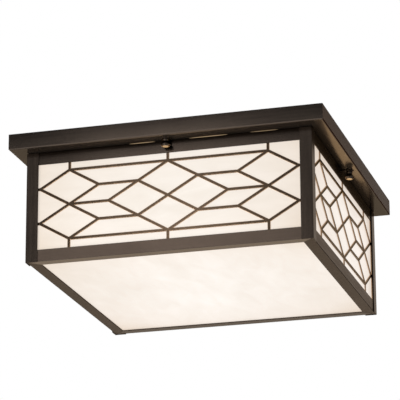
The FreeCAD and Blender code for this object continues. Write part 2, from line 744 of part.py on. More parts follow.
def socket_shell():
    """Thin screw shell standing on the floor of the cavity."""
    inner = SHELL_RADIUS - SHELL_SHEET
    return lathe_outward(
        [
            (CAVITY_FLOOR, SHELL_RADIUS - SHELL_FLOOR_LIP),
            (CAVITY_FLOOR, SHELL_RADIUS),
            (CAVITY_FLOOR + SHELL_LENGTH, SHELL_RADIUS),
            (CAVITY_FLOOR + SHELL_LENGTH, inner),
            (CAVITY_FLOOR + SHELL_SHEET, inner),
            (CAVITY_FLOOR + SHELL_SHEET, SHELL_RADIUS - SHELL_FLOOR_LIP),
        ]
    )


def socket_contact():
    """Sprung centre contact, a stepped button."""
    low = CAVITY_FLOOR
    return lathe_outward(
        [
            (low, 0),
            (low, CONTACT_RADIUS + SHELL_SHEET + SHELL_SHEET),
            (low + SHELL_SHEET, CONTACT_RADIUS + SHELL_SHEET + SHELL_SHEET),
            (low + SHELL_SHEET, CONTACT_RADIUS),
            (low + CONTACT_HEIGHT, CONTACT_RADIUS),
            (low + CONTACT_HEIGHT, 0),
        ]
    )


def socket_rivet():
    """Rivet that holds the bracket to the back of the socket."""
    seat = -BRACKET_SHEET
    head = RIVET_HEAD_HEIGHT
    return lathe_outward(
        [
            (seat - head, 0),
            (seat - head, SOCKET_RIVET_HEAD_DIAMETER / 2 - head / 2),
            (seat - head / 2, SOCKET_RIVET_HEAD_DIAMETER / 2),
            (seat, SOCKET_RIVET_HEAD_DIAMETER / 2),
            (seat, SOCKET_RIVET_DIAMETER / 2),
            (SOCKET_RIVET_DEPTH, SOCKET_RIVET_DIAMETER / 2),
            (SOCKET_RIVET_DEPTH, 0),
        ]
    )


def bracket_screw_x():
    """Distance from the middle to the screw of each bracket."""
    return SOCKET_BACK + BRACKET_FOOT / 2


def socket_bracket():
    """Bent strap from the pan to the back of the socket."""
    half = BRACKET_WIDTH / 2
    rise = SOCKET_AXIS_DEPTH
    leg = block(-BRACKET_SHEET, 0, -half, half, -BRACKET_TAIL, rise)
    foot = block(-BRACKET_SHEET, BRACKET_FOOT, -half, half, rise - BRACKET_SHEET, rise)
    rivet = SOCKET_RIVET_DIAMETER / 2 + FIT
    rivet_hole = Part.makeCylinder(
        rivet, BRACKET_SHEET + OVERRUN + OVERRUN, vec(-BRACKET_SHEET - OVERRUN, 0, 0), OUTWARD
    )
    screw_hole = rod(
        BRACKET_SCREW_DIAMETER / 2 + FIT,
        bracket_screw_x() - SOCKET_BACK,
        0,
        rise - BRACKET_SHEET - OVERRUN,
        rise + OVERRUN,
    )
    return leg.fuse(foot).removeSplitter().cut([rivet_hole, screw_hole])


def bracket_screw():
    """Screw up through the bracket's foot and the pan."""
    x = bracket_screw_x() - SOCKET_BACK
    rise = SOCKET_AXIS_DEPTH
    seat = rise - BRACKET_SHEET
    head = rod(BRACKET_SCREW_HEAD_DIAMETER / 2, x, 0, seat - BRACKET_SCREW_HEAD_HEIGHT, seat)
    lower = [e for e in head.Edges if e.BoundBox.ZMax < seat - BRACKET_SCREW_HEAD_HEIGHT + FIT]
    head = head.makeFillet(BRACKET_SCREW_HEAD_HEIGHT / 2, lower)
    end = rise + PAN_SHEET + BRACKET_NUT_HEIGHT
    screw = head.fuse(rod(BRACKET_SCREW_DIAMETER / 2, x, 0, seat, end)).removeSplitter()
    return screw.cut(driver_slot(x, 0, seat - BRACKET_SCREW_HEAD_HEIGHT, -1))


def bracket_nut():
    """Nut on the upper face of the pan."""
    x = bracket_screw_x() - SOCKET_BACK
    low = SOCKET_AXIS_DEPTH + PAN_SHEET
    nut = hexagon(BRACKET_NUT_ACROSS, x, 0, low, low + BRACKET_NUT_HEIGHT)
    return nut.cut(
        rod(BRACKET_SCREW_DIAMETER / 2 + KNOB_PLAY, x, 0, low - OVERRUN, low + OVERRUN + OVERRUN)
    )


def lamp_base():
    """Screw shell with rounded turns, its insulator and its tip, from the tip outward."""
    shell_start = LAMP_TIP_HEIGHT + LAMP_INSULATOR_HEIGHT
    tip = lathe_outward(
        [
            (0, 0),
            (0, LAMP_TIP_RADIUS - LAMP_TIP_HEIGHT / 2),
            (LAMP_TIP_HEIGHT, LAMP_TIP_RADIUS),
            (LAMP_TIP_HEIGHT, 0),
        ]
    )
    insulator = lathe_outward(
        [
            (LAMP_TIP_HEIGHT, 0),
            (LAMP_TIP_HEIGHT, LAMP_TIP_RADIUS + LAMP_TIP_HEIGHT),
            (shell_start, LAMP_INSULATOR_RADIUS),
            (shell_start, 0),
        ]
    )
    low, high = LAMP_THREAD_RADIUS - LAMP_THREAD_DEPTH, LAMP_THREAD_RADIUS
    profile = [(shell_start, 0), (shell_start, LAMP_INSULATOR_RADIUS)]
    for turn in range(LAMP_THREAD_TURNS):
        x = shell_start + LAMP_THREAD_PITCH * (turn + 1 / 2)
        profile += [(x - LAMP_THREAD_PITCH / 4, low), (x, high), (x + LAMP_THREAD_PITCH / 4, low)]
    collar = shell_start + LAMP_THREAD_PITCH * LAMP_THREAD_TURNS
    profile += [(collar, low), (collar, high), (lamp_shell_end(), high), (lamp_shell_end(), 0)]
    return [tip, insulator, lathe_outward(profile)]


def lamp_shell_end():
    """Length of the lamp's base, tip to collar."""
    threads = LAMP_THREAD_PITCH * LAMP_THREAD_TURNS
    return LAMP_TIP_HEIGHT + LAMP_INSULATOR_HEIGHT + threads + LAMP_COLLAR_LENGTH


def globe_outline(neck, globe, end):
    """Edges from the neck's mouth along a tangent and a round end to the axis."""
    centre = LAMP_LENGTH - LAMP_GLOBE_RADIUS
    start = lamp_shell_end()
    distance = math.hypot(centre - start, neck)
    slope = math.asin(globe / distance) - math.atan2(neck, centre - start)
    run = math.sqrt(distance**2 - globe**2)
    touch = vec(start + run * math.cos(slope), 0, neck + run * math.sin(slope))
    lean = (math.pi / 2 + slope) / 2
    shoulder = vec(centre + globe * math.cos(lean), 0, globe * math.sin(lean))
    pole = vec(end, 0, 0)
    mouth = vec(start, 0, neck)
    return [Part.LineSegment(mouth, touch).toShape(), Part.Arc(touch, shoulder, pole).toShape()]


def lamp_globe():
    """Frosted envelope, a thin wall open at its neck."""
    start = lamp_shell_end()
    outer = globe_outline(LAMP_NECK_RADIUS, LAMP_GLOBE_RADIUS, LAMP_LENGTH)
    inner = globe_outline(
        LAMP_NECK_RADIUS - LAMP_WALL, LAMP_GLOBE_RADIUS - LAMP_WALL, LAMP_LENGTH - LAMP_WALL
    )
    edges = outer + inner + [
        Part.LineSegment(vec(LAMP_LENGTH, 0, 0), vec(LAMP_LENGTH - LAMP_WALL, 0, 0)).toShape(),
        Part.LineSegment(
            vec(start, 0, LAMP_NECK_RADIUS), vec(start, 0, LAMP_NECK_RADIUS - LAMP_WALL)
        ).toShape(),
    ]
    return lathe(Part.__sortEdges__(edges), ORIGIN, OUTWARD)


def lamp_pieces(shapes):
    """Copies of a lamp's solids seated in each of the four sockets."""
    seated = [s.copy() for s in shapes]
    for s in seated:
        s.translate(vec(LAMP_START, 0, 0))
    return list(zip(*[placed_at_sockets(s) for s in seated]))


def save(name, solids):
    """Writes one node's solids to its own file."""
    shapes = solids if isinstance(solids, (list, tuple)) else [solids]
    whole = [solid for shape in shapes for solid in shape.Solids]
    bad = [solid for solid in whole if not solid.isValid() or solid.Volume <= 0]
    if bad or not whole:
        raise ValueError(f"{name} has a solid that isn't valid")
    shape = whole[0] if len(whole) == 1 else Part.makeCompound(whole)
    shape.exportStep(os.path.join(OUT, name + ".step"))


def build_ceiling_side():
    """Everything that stays on the ceiling when the lantern comes down."""
    save("ceiling_pan", ceiling_pan())
    save("crossbar", crossbar())
    save("canopy_studs", canopy_studs())
    save("canopy_cap_nuts", cap_nuts())
    save("wire_bushing", wire_bushing())
    save("hanging_studs", hanging_studs())
    save("socket_brackets", placed_at_sockets(socket_bracket()))
    save("socket_bodies", placed_at_sockets(socket_body()))
    save("socket_shells", placed_at_sockets(socket_shell()))
    save("socket_contacts", placed_at_sockets(socket_contact()))
    save("socket_rivets", placed_at_sockets(socket_rivet()))
    save("bracket_screws", placed_at_sockets(bracket_screw()))
    save("bracket_nuts", placed_at_sockets(bracket_nut()))
    save("hot_leads", [lead(k, True) for k in range(len(SIDES))])
    save("neutral_leads", [lead(k, False) for k in range(len(SIDES))])
    save("wire_connectors", [connector(QUARTER_TURN), connector(-QUARTER_TURN)])
    save("ground_screws", ground_screws())
    save("ground_lead", ground_lead())


def build_lantern():
    """Frame, lattices, glass and what holds them."""
    pieces = {
        "top_rail": top_rail(),
        "bottom_rail": bottom_rail(),
        "lattice": lattice(),
        "side_glass": side_glass(),
    }
    for kind, shape in pieces.items():
        for side, copy in zip(SIDES, around(shape)):
            save(f"{kind}_{side}", copy)
    for corner, copy in zip(CORNERS, around(corner_post())):
        save(f"corner_post_{corner}", copy)
    save("bottom_glass", bottom_glass())
    save("hanging_ears", ears())
    save("glass_clips", clips())
    save("clip_rivets", rivets())


def build_knobs():
    for kind, shape in {"knob": knob(), "knob_washer": knob_washer()}.items():
        for side, copy in zip(SIDES, around(shape)):
            save(f"{kind}_{side}", copy)


def build_lamps():
    """Named by corner, starting with the socket that points to the back right."""
    order = ("back_right", "back_left", "front_left", "front_right")
    bases = lamp_pieces(lamp_base())
    globes = lamp_pieces([lamp_globe()])
    for corner, base, globe in zip(order, bases, globes):
        save(f"lamp_base_{corner}", list(base))
        save(f"lamp_globe_{corner}", list(globe))


def main():
    os.makedirs(OUT, exist_ok=True)
    build_ceiling_side()
    build_lantern()
    build_knobs()
    build_lamps()


main()
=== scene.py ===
"""Looks of the square flush mount ceiling light, in metres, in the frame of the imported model.

The origin is in the plane of the ceiling, and the light hangs down from it. Front is -Y.
"""

import json
import math

import bmesh
import bpy
from mathutils import Matrix, Vector, noise


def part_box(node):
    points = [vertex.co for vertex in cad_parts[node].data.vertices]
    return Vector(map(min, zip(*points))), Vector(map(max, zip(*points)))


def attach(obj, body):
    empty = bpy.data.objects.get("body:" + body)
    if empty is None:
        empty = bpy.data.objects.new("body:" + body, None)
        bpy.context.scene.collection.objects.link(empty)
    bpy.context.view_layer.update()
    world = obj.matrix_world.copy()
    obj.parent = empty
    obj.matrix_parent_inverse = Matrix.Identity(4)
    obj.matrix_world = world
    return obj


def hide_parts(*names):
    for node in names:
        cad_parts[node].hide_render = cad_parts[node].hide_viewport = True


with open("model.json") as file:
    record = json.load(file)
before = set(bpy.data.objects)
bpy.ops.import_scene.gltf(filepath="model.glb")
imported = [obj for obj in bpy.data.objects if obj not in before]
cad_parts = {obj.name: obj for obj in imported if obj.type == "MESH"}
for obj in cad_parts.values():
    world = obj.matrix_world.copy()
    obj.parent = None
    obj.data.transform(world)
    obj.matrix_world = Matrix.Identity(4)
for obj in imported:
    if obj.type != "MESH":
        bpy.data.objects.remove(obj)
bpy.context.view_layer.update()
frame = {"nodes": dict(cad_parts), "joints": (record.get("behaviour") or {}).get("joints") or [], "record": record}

X, Y, Z = Vector((1, 0, 0)), Vector((0, 1, 0)), Vector((0, 0, 1))
WAYS = {"front": -Y, "right": X, "back": Y, "left": -X}  # outward from the middle
CORNERS = ("back_right", "back_left", "front_left", "front_right")

# Camera, fitted to the corners of the lantern and the pan
CAMERA_AZIMUTH = 15.746
CAMERA_ELEVATION = -17.924
CAMERA_ROLL = -0.307
CAMERA_DISTANCE = 3.9582
CAMERA_AIM = (-0.0064, -0.0207, -0.0590)
FAR_CLIP_SHARE = 10  # of the distance
FOCAL_PIXELS = 2433.6
PHOTO_PIXELS = 400
SENSOR_MM = 36.0

# Studio
CEILING_HEIGHT = 9.0  # a high room, so that the light also shows from steeply below
FLOOR_HALF = 200.0
FLOOR_COLOUR = (0.80, 0.79, 0.77)
FLOOR_ROUGHNESS = 0.8
FLOOR_LIFT = 0.69  # the floor's own light where it is seen, so that it looks nearly white
WORLD_FILL = 0.30  # the surround's light on the object
WORLD_SEEN = 1.0
STUDIO_COLOUR = (1.0, 0.97, 0.93)
SOFTBOXES = {  # place, aim, width, height and power
    "front_softbox": ((-0.345, -1.45, 0.14), (0, -0.2, -0.12), 0.30, 0.50, 3.4),
    "low_softbox": ((-0.36, -1.34, -0.97), (0, -0.2, -0.05), 1.2, 1.5, 19.0),
    "back_softbox": ((-0.75, 1.35, 0.30), (0, 0.2, -0.1), 0.5, 0.8, 7.0),
    "top_softbox": ((0, 0, 1.5), (0, 0, 0), 1.2, 1.2, 12.0),
}

# Lamps that stand in for the light's own glow, outside the glass and in the gap under the pan
GLOW_GAP = 0.006
GLOW_POWER = 0.50
GLOW_COLOUR = (1.0, 0.86, 0.67)
LEAK_SIDES = ("front", "back")
LEAK_RISE = 0.0005  # above the rail
LEAK_HEIGHT = 0.0009
LEAKS = (  # place along a side, length and brightness
    (-0.041, 0.042, 0.42),
    (0.066, 0.062, 0.46),
    (0.155, 0.044, 0.30),
)
LEAK_COLOUR = (1.0, 0.72, 0.42)

# Rounded edges, and the faces between them that get a paint of their own
WELD = 0.00001
SHEET_EDGE = 0.00035
LATTICE_EDGE = 0.0003
EDGE_STEPS = 2
ROUND_PROFILE = 0.5
SHARP_DEGREES = 38.0
FLAT_DEGREES = 0.5
FLAT_WEIGHT = 100
FLAT_LIMIT = 0.97  # least share of its normal that a flat face has along an axis
BEND_LIMIT = 0.75  # the same where the underside of the pan folds into its rim

# Noise
NOISE_SPAN = (0.3, 0.7)  # where most of a noise lies
NOISE_DETAIL = 4.0
NOISE_ROUGHNESS = 0.55
PATCH_DETAIL = 3.0
FINE_DETAIL = 2.0
GRAIN_DEPTH = 0.00002

# Metal: its own scale, those of its patterns beside it, and where their mix takes its colours
METAL_SCALE = 60.0
STREAK_SHARE = 4
STREAK_STRETCH = 0.06
PATCH_DIVISOR = 6
PATCH_SHARE = 0.5  # of the mix
FINE_SHARE = 22
MIX_MIDDLE = 0.49
MIX_HALF = 0.17
FALL_HALF = 0.35  # where painted shade also darkens the paint upward
METALS = {
    "bronze_paint": dict(
        dark=(0.040, 0.0303, 0.0245), light=(0.058, 0.0440, 0.0355),
        roughness=(0.36, 0.46), tint=(0.70, 0.62, 0.55),
    ),
    "post_paint": dict(
        dark=(0.023, 0.0178, 0.0145), light=(0.035, 0.0272, 0.0222),
        roughness=(0.16, 0.22), tint=(0.72, 0.635, 0.56), along="z", matt=0.3,
    ),
    "pan_underside": dict(
        dark=(0.048, 0.038, 0.031), light=(0.060, 0.047, 0.038),
        roughness=(0.17, 0.21), tint=(0.63, 0.575, 0.51), along="x", depth=0.000004, matt=0.3,
    ),
    # painted shade: the pan's rim takes a darker copy of its paint
    "pan_rim": dict(
        dark=(0.014, 0.0111, 0.0094), light=(0.028, 0.0222, 0.0183),
        roughness=(0.19, 0.27), tint=(0.40, 0.357, 0.326), along="x",
    ),
    # painted shadow of the pan's overhang: the top rails take a darker copy of the bronze paint
    "top_rail_paint": dict(
        dark=(0.014, 0.0109, 0.0091), light=(0.025, 0.0195, 0.0161),
        roughness=(0.22, 0.28), tint=(0.64, 0.575, 0.51),
    ),
    "sill_paint": dict(
        dark=(0.029, 0.023, 0.0191), light=(0.039, 0.0314, 0.0263),
        roughness=(0.26, 0.36), tint=(0.66, 0.585, 0.52),
    ),
    # painted highlight under the front flange of the bottom rails
    "lit_sill_paint": dict(
        dark=(0.11, 0.085, 0.060), light=(0.15, 0.116, 0.084),
        roughness=(0.26, 0.36), tint=(0.80, 0.71, 0.63),
    ),
    "back_sill_paint": dict(
        dark=(0.029, 0.023, 0.0191), light=(0.039, 0.0314, 0.0263),
        roughness=(0.26, 0.36), tint=(0.80, 0.71, 0.63),
    ),
    # painted shadow line along the folds of the bottom rails
    "fold_shadow": dict(
        dark=(0.008, 0.0062, 0.0050), light=(0.012, 0.0092, 0.0076),
        roughness=(0.4, 0.5), tint=(0.2, 0.18, 0.16),
    ),
    "lattice_paint": dict(
        dark=(0.021, 0.0145, 0.0098), light=(0.031, 0.0213, 0.0145),
        roughness=(0.20, 0.28), tint=(0.50, 0.43, 0.36),
    ),
    # painted glow of the lit glass on the side faces of the lattice bars
    "lattice_glow_edge": dict(
        dark=(0.40, 0.265, 0.160), light=(0.52, 0.350, 0.220),
        roughness=(0.3, 0.4), tint=(0.8, 0.68, 0.55), matt=0.3,
    ),
    "washer_bronze": dict(
        dark=(0.022, 0.0165, 0.0140), light=(0.040, 0.030, 0.025),
        roughness=(0.2, 0.3), tint=(0.7, 0.62, 0.55), scale=300.0,
    ),
    "zinc_plate": dict(
        dark=(0.42, 0.42, 0.41), light=(0.62, 0.62, 0.60), roughness=(0.28, 0.42), scale=90.0,
    ),
    "rolled_shell": dict(
        dark=(0.60, 0.59, 0.57), light=(0.74, 0.73, 0.71), roughness=(0.18, 0.28), scale=200.0,
    ),
    "solder_tip": dict(
        dark=(0.45, 0.45, 0.44), light=(0.6, 0.6, 0.58), roughness=(0.3, 0.45), scale=900.0,
    ),
    "plain_brass": dict(
        dark=(0.62, 0.45, 0.18), light=(0.78, 0.60, 0.28), roughness=(0.25, 0.4), scale=200.0,
    ),
    "dull_copper": dict(
        dark=(0.50, 0.24, 0.13), light=(0.72, 0.38, 0.24), roughness=(0.3, 0.45), scale=400.0,
    ),
}

# Plastic, ceramic and insulation
PLAIN_SCALE = 120.0
PLAIN_SPAN = (0.35, 0.65)
PLAIN_FINE_SHARE = 8
PLAINS = {
    "black_insulator": dict(dark=(0.012,) * 3, light=(0.02,) * 3, roughness=(0.15, 0.25)),
    "black_nylon": dict(dark=(0.012,) * 3, light=(0.022,) * 3, roughness=(0.35, 0.5)),
    "black_insulation": dict(
        dark=(0.010,) * 3, light=(0.018,) * 3, roughness=(0.4, 0.5), scale=500.0,
    ),
    "white_insulation": dict(
        dark=(0.70, 0.69, 0.66), light=(0.78, 0.77, 0.74), roughness=(0.4, 0.5), scale=500.0,
    ),
    "orange_plastic": dict(
        dark=(0.62, 0.17, 0.02), light=(0.74, 0.24, 0.04), roughness=(0.35, 0.45),
    ),
    "white_glaze": dict(
        dark=(0.80, 0.78, 0.74), light=(0.86, 0.84, 0.80), roughness=(0.08, 0.16), scale=50.0,
        sockets={"Coat Weight": 0.4},
    ),
    "frosted_globe": dict(
        dark=(0.80, 0.78, 0.74), light=(0.86, 0.84, 0.80), roughness=(0.35, 0.45),
        sockets={"Emission Color": (1.0, 0.86, 0.68, 1), "Emission Strength": 0.7},
    ),
}

# Glass
GLASS_CELL = 0.006
GLASS_WAVE = 0.00012
GLASS_WAVE_SIZE = 0.035
GLASS_DARK, GLASS_PALE = (0.20, 0.185, 0.16), (0.24, 0.225, 0.20)
GLASS_ROUGHNESS = 0.3
GLASS_GLOSS = 0.06
GLASS_BUMP, GLASS_BUMP_STRENGTH = 0.0004, 0.4
GLASS_CLOUDS = dict(scale=9.0, detail=4.0, roughness=0.55, swirl=0.8)
GLASS_WISPS = dict(scale=45.0, detail=3.0, roughness=0.5, swirl=0.7, offset=3.0)
WISPS_SHARE = 0.4
GLASS_GLOW = (  # painted glow of the lamps inside, from the brightest place outward
    (0.0, (0.935, 0.89, 0.85)),
    (0.55, (0.82, 0.735, 0.665)),
    (0.85, (0.72, 0.595, 0.485)),
    (1.0, (0.64, 0.49, 0.365)),
)
GLASS_HAZE = (0.66, 0.57, 0.48)
HAZE_MOST = 0.5
GLOW_WIDE_SHARE, GLOW_TALL_SHARE = 0.80, 0.90  # how fast the glow fades across a sheet
SIDE_STRETCH = 0.25  # of the wisps, along a side
SIDE_GLOW = {  # shift along the side, rise as a share of the sheet, pace of fading, strength, start
    "front": (0, 0.1, 1, 0.87, 0.0),
    "right": (0.02, -0.13, 0.75, 0.935, 0.30),
    "back": (0, 0, 1, 0.86, 0.0),
    "left": (0, 0, 1, 0.86, 0.0),
}
BOTTOM_CENTRE = (0, -0.01, 0)
BOTTOM_PACE = 0.84
BOTTOM_STRENGTH = 0.92
BOTTOM_STRETCH = (0.8, 0.3, 1)

# Turned pieces
ROUND_STEPS = 64

# Knob: shares of its height and its radius, from the top down, and its paint from the foot up, with a painted
# highlight on the foot
KNOB_BORE_SHARE = 0.35
KNOB_BORE_END_SHARE = 0.25
KNOB_COLLAR_SHARE = 0.72
KNOB_SOFT_SHARE = 0.05  # rounding of the collar
KNOB_FOOT_SHARE = 0.42  # rounding of the foot
KNOB_FOOT_STEPS = 5
KNOB_OUTLINE_SHARES = (
    (0.82, 0.72), (0.81, 0.67), (0.80, 0.635), (0.77, 0.585), (0.68, 0.585), (0.64, 0.635),
    (0.55, 0.72), (0.46, 0.86), (0.36, 0.96), (0.29, 1), (0.25, 1),
)
KNOB_HIGHLIGHT_RISE = 0.0002  # how far up the painted highlight of the foot reaches
KNOB_HIGHLIGHT_SPREAD = 0.1
KNOB_COLOURS = ((0.0, (0.27, 0.225, 0.175)), (0.6, (0.14, 0.107, 0.077)), (1.0, (0.026, 0.020, 0.0165)))
KNOB_ROUGHNESS = (0.14, 0.22)
KNOB_TINT = (0.42, 0.36, 0.30)
KNOB_SCALE = 900.0
KNOB_GRAIN_DEPTH = 0.000005

# Base of a lamp: shares of its length, then of its radius. The points of its tip and insulator are
# shares of the heights of those two and of its radius
THREAD_STEPS = 9  # along each pitch
LAMP_THREAD_PITCH = 0.0036
LAMP_THREAD_DEPTH = 0.0009
SHELL_WALL = 0.0005
TIP_SHARE, INSULATOR_SHARE = 0.058, 0.182
PLAIN_END_SHARE = 0.3
SHELL_INSIDE_SHARE = 0.6
TIP_FLAT_SHARE, TIP_ROUND_SHARE = 0.10, 0.25
TIP_STEPS = 6
TIP_TOP_SHARES = ((1.2, 0.33), (1.2, 0))
INSULATOR_LOW_SHARES = ((0.6, 0), (0.6, 0.35), (1.4, 0.48))
INSULATOR_HIGH_SHARES = ((0.98, 0.74), (1.1, 0.70), (1.1, 0))

# Twist-on connector: shares of its length and its radius, from inside its mouth to its end
CONNECTOR_STEPS = 128
CONNECTOR_RIBS = 14
CONNECTOR_RIB_DEPTH = 0.0005
CONNECTOR_RIB_START_SHARE = 0.25
CONNECTOR_OUTLINE_SHARES = (
    (0.45, 0), (0.45, 0.72), (0, 0.72), (0, 0.96), (0.02, 1), (0.22, 1), (0.24, 0.97),
    (0.26, 0.93), (0.60, 0.74), (0.94, 0.56), (0.99, 0.50), (1, 0.40), (1, 0),
)


# Camera, lights and stage


def make_camera():
    """Camera where the photograph was taken from."""
    turn, tilt = math.radians(CAMERA_AZIMUTH), math.radians(CAMERA_ELEVATION)
    ahead = Vector(
        (-math.sin(turn) * math.cos(tilt), math.cos(turn) * math.cos(tilt), -math.sin(tilt))
    )
    right = Vector((math.cos(turn), math.sin(turn), 0))
    up = right.cross(ahead)
    roll = math.radians(CAMERA_ROLL)
    rolled_right = right * math.cos(roll) + up * math.sin(roll)
    rolled_up = up * math.cos(roll) - right * math.sin(roll)
    data = bpy.data.cameras.new("photo_camera")
    data.sensor_width = SENSOR_MM
    data.lens = FOCAL_PIXELS * SENSOR_MM / PHOTO_PIXELS
    data.clip_end = CAMERA_DISTANCE * FAR_CLIP_SHARE
    camera = bpy.data.objects.new("photo_camera", data)
    axes = Matrix((rolled_right, rolled_up, -ahead)).transposed().to_4x4()
    camera.matrix_world = Matrix.Translation(Vector(CAMERA_AIM) - ahead * CAMERA_DISTANCE) @ axes
    bpy.context.scene.collection.objects.link(camera)
    bpy.context.scene.camera = camera


def softbox(name, place, aim, width, height, power, colour=STUDIO_COLOUR, shape="RECTANGLE"):
    """Flat lamp that points from place to aim and doesn't show itself."""
    data = bpy.data.lights.new(name, "AREA")
    data.shape = shape
    data.size = width
    data.size_y = height
    data.energy = power
    data.color = colour
    lamp = bpy.data.objects.new(name, data)
    lamp.visible_camera = False
    lamp.location = place
    lamp.rotation_euler = (Vector(aim) - Vector(place)).to_track_quat("-Z", "Y").to_euler()
    bpy.context.scene.collection.objects.link(lamp)
    return lamp


def reach_of(node, way):
    """How far a CAD piece reaches outward, one way from the middle."""
    return max(corner.dot(way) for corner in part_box(node))


def make_glow(side, way, glass):
    """Lamp over the glass of one side, which rides with it."""
    low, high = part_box("side_glass_" + side)
    reach = reach_of("side_glass_" + side, way)
    place = way * (reach + GLOW_GAP) + Z * (low.z + high.z) / 2
    glow = softbox(
        "glow_" + side, place, place + way, reach * 2, high.z - low.z, GLOW_POWER, GLOW_COLOUR, "ELLIPSE"
    )
    glow.parent = glass


def make_leaks(side, way, rail):
    """Thin lines of light in the gap above one top rail, which ride with it and show themselves."""
    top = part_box("top_rail_" + side)[1].z
    along = Z.cross(way)
    for number, (offset, length, level) in enumerate(LEAKS):
        place = way * reach_of("top_rail_" + side, way) + along * offset + Z * (top + LEAK_RISE)
        area = math.pi * length * LEAK_HEIGHT / 4
        leak = softbox(
            f"leak_{side}_{number}", place, place + way, length, LEAK_HEIGHT, level * math.pi * area,
            LEAK_COLOUR, "ELLIPSE",
        )
        leak.visible_camera = True
        leak.parent = rail


def seen_directly(tree):
    """1 where the camera looks, straight or in a mirror or through glass, and 0 elsewhere."""
    rays = add(tree, "LightPath")
    seen = rays.outputs["Is Camera Ray"]
    for kind in ("Is Glossy Ray", "Is Transmission Ray"):
        seen = add(tree, "Math", {0: seen, 1: rays.outputs[kind]}, operation="MAXIMUM").outputs[0]
    return seen


def make_floor():
    """Pale floor a room's height below."""
    mesh = bpy.data.meshes.new("floor")
    signs = ((-1, -1), (1, -1), (1, 1), (-1, 1))
    corners = [(x * FLOOR_HALF, y * FLOOR_HALF, -CEILING_HEIGHT) for x, y in signs]
    mesh.from_pydata(corners, [], [range(len(corners))])
    floor = bpy.data.objects.new("floor", mesh)
    bpy.context.scene.collection.objects.link(floor)
    material, tree = new_material("floor_paint")
    shade = add(
        tree,
        "BsdfPrincipled",
        {
            "Base Color": (*FLOOR_COLOUR, 1),
            "Roughness": FLOOR_ROUGHNESS,
            "Emission Color": (1, 1, 1, 1),
            "Emission Strength": mapped(tree, seen_directly(tree), (0, 1), (0, FLOOR_LIFT)),
        },
    )
    show(tree, shade)
    dress(floor, material)


def make_surround():
    """White all round, where the camera sees it, and a weak fill on the object."""
    world = bpy.data.worlds.new("surround")
    bpy.context.scene.world = world
    world.use_nodes = True
    tree = world.node_tree
    tree.nodes.clear()
    strength = mapped(tree, seen_directly(tree), (0, 1), (WORLD_FILL, WORLD_SEEN))
    background = add(tree, "Background", {"Color": (1, 1, 1, 1), "Strength": strength})
    output = add(tree, "OutputWorld")
    tree.links.new(background.outputs[0], output.inputs["Surface"])


def make_studio():
    """Pale floor, white surround and soft lamps."""
    make_floor()
    make_surround()
    for name, setup in SOFTBOXES.items():
        softbox(name, *setup)


# Nodes


def new_material(name):
    """An empty node material and its tree."""
    material = bpy.data.materials.new(name)
    material.use_nodes = True
    material.node_tree.nodes.clear()
    return material, material.node_tree


def add(tree, kind, inputs=(), **settings):
    """Adds a node, sets its properties, and feeds its inputs values or other nodes' sockets."""
    node = tree.nodes.new("ShaderNode" + kind)
    for key, value in settings.items():
        setattr(node, key, value)
    for key, value in dict(inputs).items():
        if isinstance(value, bpy.types.NodeSocket):
            tree.links.new(value, node.inputs[key])
        else:
            node.inputs[key].default_value = value
    return node


def show(tree, shade):
    """Makes a shader the surface of its material."""
    output = add(tree, "OutputMaterial")
    tree.links.new(shade.outputs[0], output.inputs["Surface"])


def ramp(tree, value, stops):
    """Colours along a value, from (position, colour) pairs."""
    node = add(tree, "ValToRGB", {"Fac": value})
    elements = node.color_ramp.elements
    while len(elements) < len(stops):
        elements.new(0.5)  # its place is set below
    for element, (position, colour) in zip(elements, stops):
        element.position = position
        element.color = (*colour, 1)
    return node.outputs["Color"]


def grain(
    tree, scale, stretch=(1, 1, 1), detail=NOISE_DETAIL, roughness=NOISE_ROUGHNESS, offset=0.0, swirl=0.0
):
    """Noise in the piece's own space, stretched along an axis where its share is small."""
    place = add(tree, "TexCoord").outputs["Object"]
    moved = add(tree, "Mapping", {"Vector": place, "Scale": stretch, "Location": (offset,) * 3})
    return add(
        tree,
        "TexNoise",
        {
            "Vector": moved.outputs[0],
            "Scale": scale,
            "Detail": detail,
            "Roughness": roughness,
            "Distortion": swirl,
        },
    ).outputs["Fac"]


def mapped(tree, value, source, target):
    """Takes a value from one range to another, and holds it there."""
    return add(
        tree,
        "MapRange",
        {
            "Value": value,
            "From Min": source[0],
            "From Max": source[1],
            "To Min": target[0],
            "To Max": target[1],
        },
    ).outputs[0]


def spread(tree, value, target):
    """Takes the middle of a noise to a range."""
    return mapped(tree, value, NOISE_SPAN, target)


def plus(tree, first, second):
    """Sum of two values."""
    return add(tree, "Math", {0: first, 1: second}, operation="ADD").outputs[0]


def mixed(tree, first, second, share):
    """Two values, with a share of the second."""
    return add(
        tree, "Mix", {"Factor": share, "A": first, "B": second}, data_type="FLOAT"
    ).outputs[0]


def mixed_colours(tree, first, second, share):
    """Two colours, with a share of the second. The node's colour sockets go by number."""
    return add(tree, "Mix", {0: share, 6: first, 7: second}, data_type="RGBA").outputs[2]


def height_in(tree):
    """Height above the origin, in the piece's own space."""
    place = add(tree, "TexCoord").outputs["Object"]
    return add(tree, "SeparateXYZ", {"Vector": place}).outputs["Z"]


def bump(tree, height, distance, strength=1.0):
    """Normal that a height bends."""
    return add(
        tree, "Bump", {"Height": height, "Distance": distance, "Strength": strength}
    ).outputs[0]


